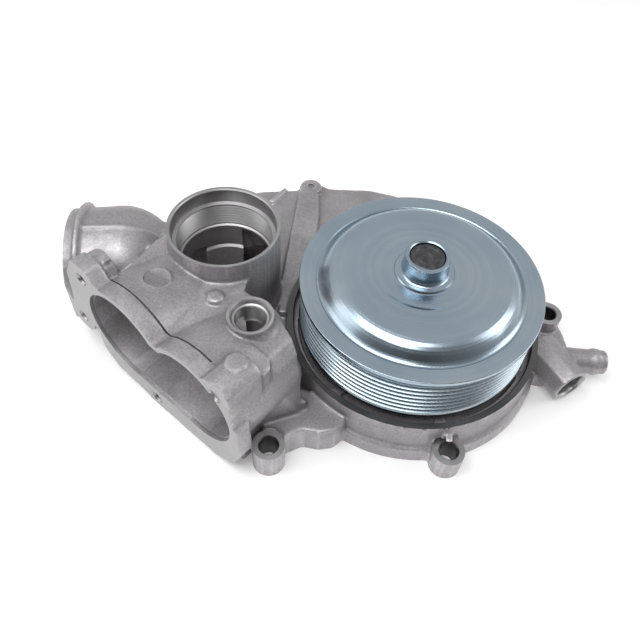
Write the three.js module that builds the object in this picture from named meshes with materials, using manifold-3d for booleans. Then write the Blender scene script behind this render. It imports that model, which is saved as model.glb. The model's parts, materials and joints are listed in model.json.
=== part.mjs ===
// Engine coolant pump: a cast body that holds the bearing, the seal and the thermostat
// chamber, with a grooved belt pulley and an impeller on one shaft.
// Frame: millimetres, +Z up along the shaft towards the pulley. The origin is on the shaft
// axis, in the plane of the rear mounting face, level with the rear end of the shaft.
import * as THREE from 'three';
import { mergeVertices } from 'three/addons/utils/BufferGeometryUtils.js';
import Module from 'manifold-3d';

const wasm = await Module();
wasm.setup();

// ---- driving dimensions -------------------------------------------------------------
const FIT = 0.3;                 // gap between pieces that touch
const TURN = Math.PI * 2;

// belt pulley
const PULLEY_R = 69;             // top flange
const PULLEY_TOP = 64;           // face of the top flange
const PULLEY_BOTTOM = 30.2;
const GROOVES = 8;
const GROOVE_PITCH = 3.56;
const GROOVE_DEPTH = 2.7;
const GROOVE_CREST_R = 68;
const RIM_INNER_R = 62.5;
const DISC_TOP = 72.2;           // raised centre of the pulley face
const DISC_EDGE_R = 47;
const SHEET = 4;                 // thickness of the pulley web
const NECK_R = 12.5;
const NECK_TOP = 84.3;
const NECK_BOTTOM = 60;

// shaft
const SHAFT_TOP = 83.5;
const SHAFT_PULLEY_R = 9.6;
const SHAFT_RACE_R = 12.5;
const SHAFT_SEAL_R = 10;
const SHAFT_IMPELLER_R = 9;

// bearing
const BEARING_Z0 = 28;
const BEARING_Z1 = 56;
const BEARING_R = 23.5;
const RACE_R = 19.5;
const PITCH_R = 16;
const BALLS = 9;
const BALL_R = 4.4;
const BALL_Z = 35.5;
const ROLLERS = 12;
const ROLLER_R = 3.2;
const ROLLER_LENGTH = 8.5;
const ROLLER_Z = 47.1;
const CAGE_R0 = 14.6;
const CAGE_R1 = 17.4;
const CLIP_Z0 = 56.4;            // retaining ring
const CLIP_Z1 = 58;
const CLIP_GROOVE_R = 25.6;

// round drive end of the body
const BASE_R = 78.3;
const BASE_LIP_Z = 11;
const COLLAR_R = 75;
const COLLAR_BORE_R = 71;
const COLLAR_TOP = 29.4;
const WEB_TOP = 21;
const NOSE_R = 30;
const NOSE_TOP = 60;
const RECESS_R = 50;             // impeller chamber
const RECESS_TOP = 15.5;
const SEAL_BORE_R = 18;
const RIBS = 7;
const RIB_PHASE = 180;           // degrees
const O_RING_R = 64;
const O_RING_SECTION = 1.2;
const O_RING_Z = 1.5;
const WEEP_Z = 24;
const WEEP_R = 2;                // drain between the seal and the bearing
const WEEP_ANGLE = 257;          // degrees

// impeller
const IMPELLER_R = 46;
const IMPELLER_DISC_Z0 = 10.4;
const IMPELLER_DISC_Z1 = 12.6;
const VANES = 7;
const VANE_Z0 = 2;
const VANE_THICKNESS = 3;

// fixing bosses: x, y, height, all with the same bolt hole
const BOSS_R = 9;
const BOLT_HOLE_R = 5.2;
const FRONT_BOSS = [20.9, -79.3, 16];
const LEFT_BOSS = [-76.9, -86.9, 19];
const RIGHT_BOSS = [87.2, 20.8, 20];
const REAR_BOSS = [-70.5, 117.5, 24];
const PLATE_TOP = 20;            // plate behind the pulley

// thermostat chamber, drawn in its own frame: h along the flange, z up, d behind its face
const FLANGE_ANGLE = 232.5;      // degrees, outward normal of the flange
const FLANGE_OUT = 133.5;        // distance of the flange face from the shaft axis
const FLANGE_THICKNESS = 9.5;
const LEFT_LOBE = { h: -98, z: 46.5, r: 28.5 };
const RIGHT_LOBE = { h: -46, z: 45.5, r: 27.5 };
const WAIST_Z = [18.5, 63.5];
const FLANGE_RIM = 4.5;
const CHAMBER_WALL = 4;
const CHAMBER_DEPTH = 51;
const TAPER_Z = 40;              // above this height the chamber gets lower behind the flange
const TAPER = 0.0056;            // share of the height lost per millimetre of depth
const ROOF_Z = 67;               // flat part of the chamber roof
const CAVITY_Z = [22, 60];       // rear part of the chamber
const LUG_R = 10;
const LUG_LENGTH = 16;
const LUG_HOLE_R = 3.6;
const LUGS = [[-127, 73.5], [-140.5, 31], [-80, 8], [-25.5, 70]];

// round threaded port, upright
const PORT = { x: -113.2, y: 14.2, r: 31.8, top: 80 };
const PORT_MOUTH_R = 29.6;
const PORT_THREAD_R = 27.6;
const PORT_SEAT_R = 26;          // below the thread
const PORT_SEAT_Z = 38;
const PORT_BORE_R = 24;
const PORT_THREAD_Z = 56;
const PORT_MOUTH_DEPTH = 9;

// duct from the upright port down to the pocket behind the plate; u and v are measured from
// the port's axis, in a frame turned by the duct's angle
const DUCT_ANGLE = 12.7;         // degrees
const DUCT_U = [7, 31];
const DUCT_HIGH = { v: 32, top: 54 };
const DUCT_LOW = { v: 52, top: 36 };
const DUCT_WALL = 3.7;

// small threaded port, upright, on the chamber roof
const SENSOR_PORT = { x: -90.7, y: -42.9, r: 12.4, top: 74 };
const SENSOR_BORE_R = 8.4;

// large hose pipe at the left end
const PIPE_ANGLE = 187;          // degrees, direction in which the pipe opens
const PIPE_R = 35;
const PIPE_MOUTH_R = 33;
const PIPE_BORE_R = 29;
const PIPE_Z = 35.5;
const PIPE_END = [-205, 16];
const PIPE_LENGTH = 27;
const PIPE_BEAD = 2;
const PIPE_NECK_R = 25;          // passage from the pipe to the upright port
const PIPE_NECK_BORE_R = 15;
const PIPE_NECK_DROP = 7.5;      // how far that passage lies below the pipe's axis

// vent elbow and hose stub at the right
const ELBOW_ANGLE = -58;
const ELBOW_END = [96, -29.5];
const ELBOW_Z = 14;
const ELBOW_R = 12;
const ELBOW_BORE_R = 8.6;
const ELBOW_LENGTH = 32;
const STUB_START = 84;
const STUB_Y = -9.5;
const STUB_END = 119.5;
const STUB_R = 7.4;
const STUB_BORE_R = 5;

// ---- solids -------------------------------------------------------------------------
const rad = (degrees) => degrees * Math.PI / 180;

function solid(geometry) {
  geometry.deleteAttribute('normal');
  geometry.deleteAttribute('uv');
  const merged = mergeVertices(geometry, 1e-4);
  const index = merged.index.array;
  const triangles = [];
  for (let i = 0; i < index.length; i += 3) {
    const [a, b, c] = [index[i], index[i + 1], index[i + 2]];
    if (a !== b && b !== c && c !== a) triangles.push(a, b, c);
  }
  return new wasm.Manifold(new wasm.Mesh({
    numProp: 3,
    vertProperties: new Float32Array(merged.attributes.position.array),
    triVerts: new Uint32Array(triangles),
  }));
}

// A turned body about the Z axis. The profile runs anticlockwise in (radius, height).
function turnedGeometry(profile, segments = 40) {
  const points = profile.map(([r, z]) => new THREE.Vector2(r, z));
  if (profile[0][0] > 0) points.push(points[0].clone());
  return new THREE.LatheGeometry(points, segments).rotateX(Math.PI / 2);
}

const turned = (profile, segments) => solid(turnedGeometry(profile, segments));

const ringProfile = (r0, r1, z0, z1) => [[r0, z0], [r1, z0], [r1, z1], [r0, z1]];

const ring = (r0, r1, z0, z1, segments) => turned(ringProfile(r0, r1, z0, z1), segments);

const rod = (r, z0, z1, segments) => turned([[0, z0], [r, z0], [r, z1], [0, z1]], segments);

const upright = (x, y, r, z0, z1, segments) => rod(r, z0, z1, segments).translate([x, y, 0]);

function prism(points, z0, z1) {
  const shape = new THREE.Shape(points.map(([x, y]) => new THREE.Vector2(x, y)));
  const geometry = new THREE.ExtrudeGeometry(shape, { depth: z1 - z0, bevelEnabled: false });
  return solid(geometry.translate(0, 0, z0));
}

const block = (x0, x1, y0, y1, z0, z1) => prism([[x0, y0], [x1, y0], [x1, y1], [x0, y1]], z0, z1);

// A round bar of radius r0..r1 lying in the XY directions: it starts at (x, y, z) and runs
// for the given length along the given angle.
function bar(x, y, z, angle, length, r0, r1 = r0, segments = 24) {
  const geometry = turnedGeometry([[0, 0], [r0, 0], [r1, length], [0, length]], segments);
  geometry.rotateY(Math.PI / 2).rotateZ(rad(angle)).translate(x, y, z);
  return solid(geometry);
}

const union = (solids) => solids.reduce((whole, next) => whole.add(next));

const without = (whole, cutters) => cutters.reduce((rest, next) => rest.subtract(next), whole);

const around = (count, make) => Array.from({ length: count }, (_, i) => make(360 * i / count, i));

// The mesh of a solid, without the slivers that a cut can leave beside it.
function toGeometry(manifold) {
  const pieces = manifold.decompose().sort((a, b) => b.volume() - a.volume());
  const mesh = pieces[0].getMesh();
  const geometry = new THREE.BufferGeometry();
  geometry.setAttribute('position', new THREE.BufferAttribute(mesh.vertProperties, 3));
  geometry.setIndex(new THREE.BufferAttribute(mesh.triVerts, 1));
  geometry.computeVertexNormals();
  return geometry;
}

// ---- materials ----------------------------------------------------------------------
const metal = (color, roughness) => new THREE.MeshStandardMaterial({ color, roughness, metalness: 1 });
const soft = (color, roughness) => new THREE.MeshStandardMaterial({ color, roughness, metalness: 0 });

const castAluminium = () => metal(0xa8a4a6, 0.55);
const zincPlate = () => metal(0xb4c2cc, 0.28);
const bearingSteel = () => metal(0x8f9396, 0.2);
const darkSteel = () => metal(0x2c2d2f, 0.45);
const castIron = () => metal(0x4a4a4c, 0.6);
const pressedBrass = () => metal(0xb08a4a, 0.35);
const rubber = () => soft(0x171718, 0.8);
const carbon = () => soft(0x242426, 0.4);
const cagePlastic = () => soft(0xcbb98a, 0.5);

const pump = new THREE.Group();

function add(name, geometry, material) {
  const mesh = new THREE.Mesh(geometry, material);
  mesh.name = name;
  pump.add(mesh);
  return mesh;
}

// ---- frame of the thermostat flange ---------------------------------------------------
const flangeNormal = new THREE.Vector3(Math.cos(rad(FLANGE_ANGLE)), Math.sin(rad(FLANGE_ANGLE)), 0);
const flangeAcross = new THREE.Vector3(-flangeNormal.y, flangeNormal.x, 0);
const flangeFrame = new THREE.Matrix4()
  .makeBasis(flangeAcross, new THREE.Vector3(0, 0, 1), flangeNormal)
  .setPosition(flangeNormal.clone().multiplyScalar(FLANGE_OUT));

// Extrudes a shape drawn in (h, z) from d0 to d1 behind the flange face. The part of it
// above TAPER_Z gets lower with depth by the given share per millimetre.
function fromFlange(shape, d0, d1, curveSegments = 14, taper = 0) {
  const settings = { depth: d1 - d0, bevelEnabled: false, curveSegments };
  const geometry = new THREE.ExtrudeGeometry(shape, settings).translate(0, 0, -d1);
  const points = geometry.attributes.position;
  for (let i = 0; i < points.count; i += 1) {
    const rise = Math.max(points.getY(i) - TAPER_Z, 0);
    points.setY(i, points.getY(i) + rise * taper * points.getZ(i));
  }
  return solid(geometry.applyMatrix4(flangeFrame));
}

function disc(h, z, r) {
  const shape = new THREE.Shape();
  shape.absarc(h, z, r, 0, TURN, false);
  return shape;
}

function rectangle(h0, h1, z0, z1) {
  const corners = [[h0, z0], [h1, z0], [h1, z1], [h0, z1]];
  return new THREE.Shape(corners.map(([h, z]) => new THREE.Vector2(h, z)));
}

// The double outline of the two thermostat seats, wider than the openings by "extra".
function lobes(extra, d0, d1, taper) {
  const waist = rectangle(LEFT_LOBE.h, RIGHT_LOBE.h, WAIST_Z[0] - extra, WAIST_Z[1] + extra);
  const rounds = [LEFT_LOBE, RIGHT_LOBE].map(({ h, z, r }) => disc(h, z, r + extra));
  return union([...rounds, waist].map((shape) => fromFlange(shape, d0, d1, 11, taper)));
}

function outline(corners) {
  return new THREE.Shape(corners.map(([a, b]) => new THREE.Vector2(a, b)));
}

// An upright prism whose outline is drawn in (h, d).
function planPrism(corners, z0, z1) {
  const toWorld = ([h, d]) => {
    const point = new THREE.Vector3(h, 0, -d).applyMatrix4(flangeFrame);
    return [point.x, point.y];
  };
  return prism(corners.map(toWorld), z0, z1);
}

// ---- pump housing ---------------------------------------------------------------------
function driveEnd() {
  const shell = turned([
    [0, 0], [BASE_R, 0], [BASE_R, BASE_LIP_Z], [COLLAR_R + 1, BASE_LIP_Z + 1.5],
    [COLLAR_R, COLLAR_TOP], [COLLAR_BORE_R, COLLAR_TOP],
    [COLLAR_BORE_R, WEB_TOP], [NOSE_R + 6, WEB_TOP], [NOSE_R + 1, WEB_TOP + 5],
    [NOSE_R, NOSE_TOP], [0, NOSE_TOP],
  ], 52);
  const rib = () => block(NOSE_R - 2, COLLAR_BORE_R + 1, -2.5, 2.5, WEB_TOP - 2, WEB_TOP + 5);
  return union([shell, ...around(RIBS, (angle) => rib().rotate([0, 0, angle + RIB_PHASE]))]);
}

const boss = ([x, y, z]) => upright(x, y, BOSS_R, 0, z, 18);

function fixingBosses() {
  const [fx, fy] = FRONT_BOSS;
  const [lx, ly] = LEFT_BOSS;
  const [rx, ry] = RIGHT_BOSS;
  const [rearX, rearY, rearTop] = REAR_BOSS;
  const arm = [[lx, ly + 3], [lx + 10, ly + 6], [-59.5, -76.5], [-50, -77.5], [-42, -75.5], [-36, -69],
    [-45, -55], [-62, -50], [-84, -70]];
  return union([
    boss(FRONT_BOSS),
    boss(LEFT_BOSS),
    boss(RIGHT_BOSS),
    turned([[0, 0], [BOSS_R + 1, 0], [BOSS_R - 1.5, rearTop], [0, rearTop]], 18)
      .translate([rearX, rearY, 0]),
    block(fx - 7, fx + 7, fy - 4, -68, 0, BASE_LIP_Z),
    prism(arm, 0, LEFT_BOSS[2] + 1),
    prism([[70, 32], [rx + 4, ry + 7], [rx + 11, ry - 6], [101, -2], [84, -22], [70, -20]], 0, BASE_LIP_Z),
  ]);
}

function backPlate() {
  const plate = [[-121, 40], [-119, 106], [-105, 112], [-80, 116.5], [-74, 124], [-64, 124.5], [-57, 121],
    [-28, 123], [-10, 119.5], [25, 106], [60, 62], [40, 30], [-60, 0], [-100, -20]];
  const rib = [[-78, 115], [-66, 111], [-68, 22], [-82, 22]];
  return union([prism(plate, 0, PLATE_TOP), prism(rib, PLATE_TOP - 6, PLATE_TOP + 5)]);
}

// The two steps of the duct, or of the passage inside it when a wall thickness is given.
function duct(wall) {
  const floor = wall > 0 ? wall : 0;
  const step = ({ v, top }) => block(DUCT_U[0] + wall, DUCT_U[1] - wall, 0, v - wall, floor, top - wall);
  const place = (piece) => piece.rotate([0, 0, DUCT_ANGLE]).translate([PORT.x, PORT.y, 0]);
  return union([DUCT_HIGH, DUCT_LOW].map((part) => place(step(part))));
}

function thermostatChamber() {
  const lugs = LUGS.map(([h, z]) => fromFlange(disc(h, z, LUG_R), 0, LUG_LENGTH, 5));
  const skirt = outline([[-127, 50], [-126, 14], [-115, 4], [-60, 1], [-32, 2.5], [-18, 9], [-11, 26],
    [-12, 50]]);
  const leftPad = outline([[-141.5, 69], [-142.5, 60], [-143.5, 50], [-146, 40], [-120, 26], [-112, 74],
    [-120, 84], [-133, 84]]);
  const rightPad = outline([[-36, 30], [-16, 30], [-16, 75], [-19.5, 78.5], [-32, 78.5], [-36, 74]]);
  const plan = [[-119, FLANGE_THICKNESS - 1], [-19, FLANGE_THICKNESS - 1], [-19, 25], [-8, 46],
    [-20, CHAMBER_DEPTH], [-42, 59], [-66, 58], [-72, 78], [-120, 78], [-128, 50]];
  const section = outline([[-150, 0], [-5, 0], [-10, 22], [-18, 60], [-24, ROOF_Z], [-150, ROOF_Z]]);
  return union([
    lobes(FLANGE_RIM, 0, FLANGE_THICKNESS, 0),
    fromFlange(skirt, 0, FLANGE_THICKNESS),
    fromFlange(leftPad, 0, FLANGE_THICKNESS),
    fromFlange(rightPad, 0, LUG_LENGTH + 7),
    lobes(CHAMBER_WALL, 0, CHAMBER_DEPTH, TAPER),
    planPrism(plan, 0, ROOF_Z).intersect(fromFlange(section, 0, 90)),
    ...lugs,
  ]);
}

// A point on the axis of the large pipe, a given way in from its open end.
function pipePoint(inward) {
  const direction = rad(PIPE_ANGLE + 180);
  return [PIPE_END[0] + inward * Math.cos(direction), PIPE_END[1] + inward * Math.sin(direction), PIPE_Z];
}

function pipeBar(from, length, r0, r1, segments) {
  return bar(...pipePoint(from), PIPE_ANGLE + 180, length, r0, r1, segments);
}

function pipeDome(r, across = 24, up = 12) {
  return solid(new THREE.SphereGeometry(r, across, up).translate(...pipePoint(PIPE_LENGTH)));
}

function leftPipe() {
  return union([
    pipeBar(0, PIPE_LENGTH, PIPE_MOUTH_R, PIPE_R - 0.4, 32),
    pipeBar(6, 2.5, PIPE_R + PIPE_BEAD, PIPE_R + PIPE_BEAD, 32),
    pipeDome(PIPE_R),
    pipeBar(PIPE_LENGTH, 50, PIPE_NECK_R, PIPE_NECK_R, 20),
  ]);
}

function rightElbow() {
  const [x, y] = ELBOW_END;
  const stubLength = STUB_END - STUB_START;
  return union([
    bar(x, y, ELBOW_Z, ELBOW_ANGLE + 180, ELBOW_LENGTH, ELBOW_R, ELBOW_R, 8),
    bar(STUB_START, STUB_Y, ELBOW_Z, 0, stubLength, STUB_R, STUB_R, 20),
    bar(STUB_END - 8, STUB_Y, ELBOW_Z, 0, 3, STUB_R + 0.8, STUB_R + 0.8, 20),
  ]);
}

function driveCuts() {
  const weepX = (SEAL_BORE_R - 1) * Math.cos(rad(WEEP_ANGLE));
  const weepY = (SEAL_BORE_R - 1) * Math.sin(rad(WEEP_ANGLE));
  return [
    rod(RECESS_R, -1, RECESS_TOP, 40),
    rod(SEAL_BORE_R, 0, BEARING_Z0, 24),
    rod(BEARING_R + FIT, BEARING_Z0 - FIT, NOSE_TOP + 1, 32),
    ring(BEARING_R - 1, CLIP_GROOVE_R, CLIP_Z0 - FIT, CLIP_Z1 + FIT, 32),
    ring(O_RING_R - O_RING_SECTION - 0.4, O_RING_R + O_RING_SECTION + 0.4, -1, O_RING_Z + 1.6, 40),
    bar(weepX, weepY, WEEP_Z, WEEP_ANGLE, NOSE_R, WEEP_R, WEEP_R, 8),
  ];
}

function chamberCuts() {
  return [
    lobes(0, -1, CHAMBER_DEPTH - CHAMBER_WALL, TAPER),
    planPrism([[-114, 40], [-72, 40], [-72, 72], [-114, 72]], ...CAVITY_Z),
    planPrism([[-64, 28], [-38, 28], [-38, 44], [-64, 44]], -1, 30),
    upright(PORT.x, PORT.y, PORT_BORE_R, 6, PORT.top + 1, 28),
    upright(PORT.x, PORT.y, PORT_SEAT_R, PORT_SEAT_Z, PORT.top + 1, 28),
    upright(PORT.x, PORT.y, PORT_THREAD_R, PORT_THREAD_Z, PORT.top + 1, 32),
    upright(PORT.x, PORT.y, PORT_MOUTH_R, PORT.top - PORT_MOUTH_DEPTH, PORT.top + 1, 32),
    upright(SENSOR_PORT.x, SENSOR_PORT.y, SENSOR_BORE_R, 40, SENSOR_PORT.top + 1, 16),
    duct(DUCT_WALL),
    pipeBar(-1, PIPE_LENGTH + 1, PIPE_BORE_R, PIPE_BORE_R, 24),
    pipeDome(PIPE_BORE_R, 16, 8),
    pipeBar(PIPE_LENGTH, 50, PIPE_NECK_BORE_R, PIPE_NECK_BORE_R, 16).translate([0, 0, -PIPE_NECK_DROP]),
  ];
}

function holeCuts() {
  const bolts = [FRONT_BOSS, LEFT_BOSS, RIGHT_BOSS].map(([x, y]) => upright(x, y, BOLT_HOLE_R, -1, 40, 14));
  const lugHoles = LUGS.map(([h, z]) => fromFlange(disc(h, z, LUG_HOLE_R), -1, LUG_LENGTH - 3, 4));
  const [x, y, z] = REAR_BOSS;
  const platePocket = [[-108, 60], [-108, 100], [-80, 106], [-50, 111], [-28, 113], [10, 101], [0, 84],
    [-70, 60]];
  return [
    ...bolts,
    ...lugHoles,
    upright(x, y, 3, z - 1.2, z + 1, 12),
    prism(platePocket, -1, PLATE_TOP - 5),
    bar(...ELBOW_END, ELBOW_Z, ELBOW_ANGLE + 180, ELBOW_LENGTH - 10, ELBOW_BORE_R, ELBOW_BORE_R, 16),
    bar(STUB_END + 1, STUB_Y, ELBOW_Z, 180, 32, STUB_BORE_R, STUB_BORE_R, 12),
  ];
}

function pumpHousing() {
  const cast = union([
    driveEnd(),
    fixingBosses(),
    backPlate(),
    thermostatChamber(),
    upright(PORT.x, PORT.y, PORT.r, 0, PORT.top, 32),
    duct(0),
    upright(SENSOR_PORT.x, SENSOR_PORT.y, SENSOR_PORT.r, 40, SENSOR_PORT.top, 20),
    leftPipe(),
    rightElbow(),
  ]);
  const aboveMountingFace = block(-260, 200, -200, 200, 0, 120);
  return without(cast.intersect(aboveMountingFace), [...driveCuts(), ...chamberCuts(), ...holeCuts()]);
}

// ---- bearing --------------------------------------------------------------------------
// Part of a ball groove: points on an arc of radius r about (PITCH_R, BALL_Z).
function grooveArc(r, from, to, steps = 4) {
  return Array.from({ length: steps + 1 }, (_, i) => {
    const angle = rad(from + (to - from) * i / steps);
    return [PITCH_R + r * Math.cos(angle), BALL_Z + r * Math.sin(angle)];
  });
}

const GROOVE_R = BALL_R + FIT;
const outerGrooveAngle = Math.acos((RACE_R - PITCH_R) / GROOVE_R) * 180 / Math.PI;
const innerGrooveAngle = Math.acos((PITCH_R - SHAFT_RACE_R) / GROOVE_R) * 180 / Math.PI;

function bearingOuterRing() {
  return turnedGeometry([
    [BEARING_R, BEARING_Z0], [BEARING_R, BEARING_Z1], [RACE_R, BEARING_Z1],
    ...grooveArc(GROOVE_R, outerGrooveAngle, -outerGrooveAngle),
    [RACE_R, BEARING_Z0],
  ], 32);
}

function bearingSeal(z0) {
  const [r0, r1] = [SHAFT_RACE_R + FIT, RACE_R - FIT];
  return turnedGeometry([[r0, z0], [r0 + 1, z0], [r0 + 1.5, z0 + 0.8], [r1, z0 + 0.8], [r1, z0 + 2],
    [r0, z0 + 2]], 24);
}

function ballCage() {
  const band = ring(CAGE_R0, CAGE_R1, BALL_Z - 2.5, BALL_Z + BALL_R + 1.2, 27);
  const pocket = () => solid(new THREE.SphereGeometry(GROOVE_R, 10, 6).translate(PITCH_R, 0, BALL_Z));
  return without(band, around(BALLS, (angle) => pocket().rotate([0, 0, angle])));
}

function rollerCage() {
  const half = ROLLER_LENGTH / 2;
  const band = ring(CAGE_R0, CAGE_R1, ROLLER_Z - half - 1.4, ROLLER_Z + half + 1.4, 36);
  const window = () => block(PITCH_R - 4, PITCH_R + 4, -ROLLER_R - FIT, ROLLER_R + FIT,
    ROLLER_Z - half - FIT, ROLLER_Z + half + FIT);
  return without(band, around(ROLLERS, (angle) => window().rotate([0, 0, angle])));
}

// A split ring that keeps the bearing in its bore.
function retainingRing() {
  const gap = block(10, 40, -3.5, 3.5, CLIP_Z0 - 1, CLIP_Z1 + 1);
  return ring(BEARING_R - 2.5, CLIP_GROOVE_R - FIT, CLIP_Z0, CLIP_Z1, 32).subtract(gap);
}

// ---- shaft seal -----------------------------------------------------------------------
function sealCase() {
  return turnedGeometry([[16.3, 17], [17.6, 17], [17.6, 26.8], [11.6, 26.8], [11.6, 25.8], [16.3, 25.8]], 24);
}

function sealBellows() {
  return turnedGeometry([[11.7, 19.4], [13.6, 19.4], [13.6, 21], [12.7, 22.4], [13.6, 23.8], [13.6, 25.4],
    [11.7, 25.4]], 24);
}

function sealSpring() {
  const turns = 3;
  const steps = turns * 12;
  const points = Array.from({ length: steps + 1 }, (_, i) => {
    const angle = TURN * turns * i / steps;
    return new THREE.Vector3(15 * Math.cos(angle), 15 * Math.sin(angle), 20.4 + 4.4 * i / steps);
  });
  const wire = new THREE.Shape();
  wire.absarc(0, 0, 0.55, 0, TURN, false);
  const path = new THREE.CatmullRomCurve3(points);
  const settings = { steps, extrudePath: path, bevelEnabled: false, curveSegments: 3 };
  return new THREE.ExtrudeGeometry(wire, settings);
}

// ---- rotating group -------------------------------------------------------------------
function grooveProfile() {
  const points = [];
  for (let i = 0; i < GROOVES; i += 1) {
    const top = PULLEY_TOP - 2.2 - i * GROOVE_PITCH;
    points.push([GROOVE_CREST_R, top - 0.5]);
    points.push([GROOVE_CREST_R - GROOVE_DEPTH, top - GROOVE_PITCH / 2]);
    points.push([GROOVE_CREST_R, top - GROOVE_PITCH + 0.5]);
  }
  return points.reverse();
}

function beltPulley() {
  const under = PULLEY_TOP - SHEET;
  return turnedGeometry([
    [SHAFT_PULLEY_R + FIT, NECK_BOTTOM], [NECK_R + 2, NECK_BOTTOM], [NECK_R + 3, DISC_TOP - SHEET],
    [DISC_EDGE_R - 1, DISC_TOP - SHEET], [DISC_EDGE_R + 7, under + 1], [RIM_INNER_R, under],
    [RIM_INNER_R, PULLEY_BOTTOM], [PULLEY_R - 0.6, PULLEY_BOTTOM], [PULLEY_R - 0.6, PULLEY_BOTTOM + 2],
    ...grooveProfile(),
    [PULLEY_R, PULLEY_TOP - 2], [PULLEY_R, PULLEY_TOP], [DISC_EDGE_R + 12, PULLEY_TOP],
    [DISC_EDGE_R + 9, PULLEY_TOP + 1],
    [DISC_EDGE_R + 6.5, PULLEY_TOP + 3.6], [DISC_EDGE_R + 3.5, PULLEY_TOP + 6.6], [DISC_EDGE_R, DISC_TOP],
    [NECK_R + 3.5, DISC_TOP], [NECK_R + 0.6, DISC_TOP + 2.5], [NECK_R, NECK_TOP - 0.4],
    [NECK_R - 0.4, NECK_TOP], [SHAFT_PULLEY_R + FIT, NECK_TOP],
  ], 40);
}

function driveShaft() {
  const inner = grooveArc(GROOVE_R, 180 - innerGrooveAngle, 180 + innerGrooveAngle).reverse();
  return turnedGeometry([
    [0, 0], [SHAFT_IMPELLER_R - 0.5, 0], [SHAFT_IMPELLER_R, 0.5], [SHAFT_IMPELLER_R, 13],
    [SHAFT_SEAL_R, 13.4], [SHAFT_SEAL_R, BEARING_Z0 - 0.2], [SHAFT_RACE_R, BEARING_Z0 + 0.6],
    ...inner,
    [SHAFT_RACE_R, BEARING_Z1 + 1], [SHAFT_PULLEY_R, BEARING_Z1 + 2.5], [SHAFT_PULLEY_R, SHAFT_TOP - 0.6],
    [SHAFT_PULLEY_R - 0.6, SHAFT_TOP], [3, SHAFT_TOP], [0, SHAFT_TOP - 2],
  ], 24);
}

// One backward-curved vane: a strip of constant thickness along an arc.
function vane() {
  const shape = new THREE.Shape();
  const [radius, centreX, centreY] = [30, 14.5, -30];
  shape.absarc(centreX, centreY, radius + VANE_THICKNESS / 2, rad(88), rad(12), true);
  shape.absarc(centreX, centreY, radius - VANE_THICKNESS / 2, rad(12), rad(88), false);
  const settings = { depth: IMPELLER_DISC_Z0 + 0.5 - VANE_Z0, bevelEnabled: false, curveSegments: 5 };
  return solid(new THREE.ExtrudeGeometry(shape, settings).translate(0, 0, VANE_Z0));
}

function impeller() {
  const body = turned([
    [SHAFT_IMPELLER_R + FIT, VANE_Z0 - 1], [SHAFT_IMPELLER_R + 4, VANE_Z0 - 1],
    [SHAFT_IMPELLER_R + 6, IMPELLER_DISC_Z0 - 2], [SHAFT_IMPELLER_R + 9, IMPELLER_DISC_Z0],
    [IMPELLER_R, IMPELLER_DISC_Z0], [IMPELLER_R, IMPELLER_DISC_Z1], [SHAFT_IMPELLER_R + FIT, IMPELLER_DISC_Z1],
  ], 32);
  const limit = rod(IMPELLER_R, 0, 20, 32);
  const vanes = around(VANES, (angle) => vane().rotate([0, 0, angle]));
  return union([body, ...vanes]).intersect(limit);
}

// ---- assembly -------------------------------------------------------------------------
function oRing() {
  const section = Array.from({ length: 6 }, (_, i) => [
    O_RING_R + O_RING_SECTION * Math.cos(TURN * i / 6),
    O_RING_Z + O_RING_SECTION * Math.sin(TURN * i / 6),
  ]);
  return turnedGeometry(section, 36);
}

add('pump_housing', toGeometry(pumpHousing()), castAluminium());
add('rear_o_ring', oRing(), rubber());

add('bearing_outer_ring', bearingOuterRing(), bearingSteel());
add('bearing_rear_seal', bearingSeal(BEARING_Z0 + 0.3), rubber());
add('bearing_front_seal', bearingSeal(BEARING_Z1 - 2.6), rubber());
add('bearing_retaining_ring', toGeometry(retainingRing()), darkSteel());
add('seal_case', sealCase(), pressedBrass());
add('seal_bellows', sealBellows(), rubber());
add('seal_spring', sealSpring(), bearingSteel());
add('seal_face_ring', turnedGeometry(ringProfile(11.7, 15.5, 16.3, 19.1), 24), carbon());

add('belt_pulley', beltPulley(), zincPlate());
add('drive_shaft', driveShaft(), darkSteel());
add('impeller', toGeometry(impeller()), castIron());
add('seal_seat_ring', turnedGeometry(ringProfile(11.8, 16, 14.4, 16), 24), carbon());
add('seal_seat_boot', turnedGeometry([[10.3, 13.7], [11.5, 13.7], [11.5, 15.9], [10.3, 15.9]], 24), rubber());
add('slinger_ring', turnedGeometry(ringProfile(10.3, 15.5, 27.1, 27.7), 24), bearingSteel());

add('ball_cage', toGeometry(ballCage()), cagePlastic());
around(BALLS, (angle, i) => add(
  `bearing_ball_${i + 1}`,
  new THREE.SphereGeometry(BALL_R, 10, 6),
  bearingSteel(),
).position.set(PITCH_R * Math.cos(rad(angle)), PITCH_R * Math.sin(rad(angle)), BALL_Z));

add('roller_cage', toGeometry(rollerCage()), cagePlastic());
around(ROLLERS, (angle, i) => add(
  `bearing_roller_${i + 1}`,
  turnedGeometry([[0, -ROLLER_LENGTH / 2], [ROLLER_R, -ROLLER_LENGTH / 2], [ROLLER_R, ROLLER_LENGTH / 2],
    [0, ROLLER_LENGTH / 2]], 10),
  bearingSteel(),
).position.set(PITCH_R * Math.cos(rad(angle)), PITCH_R * Math.sin(rad(angle)), ROLLER_Z));

export default pump;
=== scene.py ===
"""Looks for the engine coolant pump: cast body with machined faces, zinc-plated pulley, dark shaft end."""

import json
import math

import bmesh
import bpy
import numpy as np
from mathutils import Matrix, Vector


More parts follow.
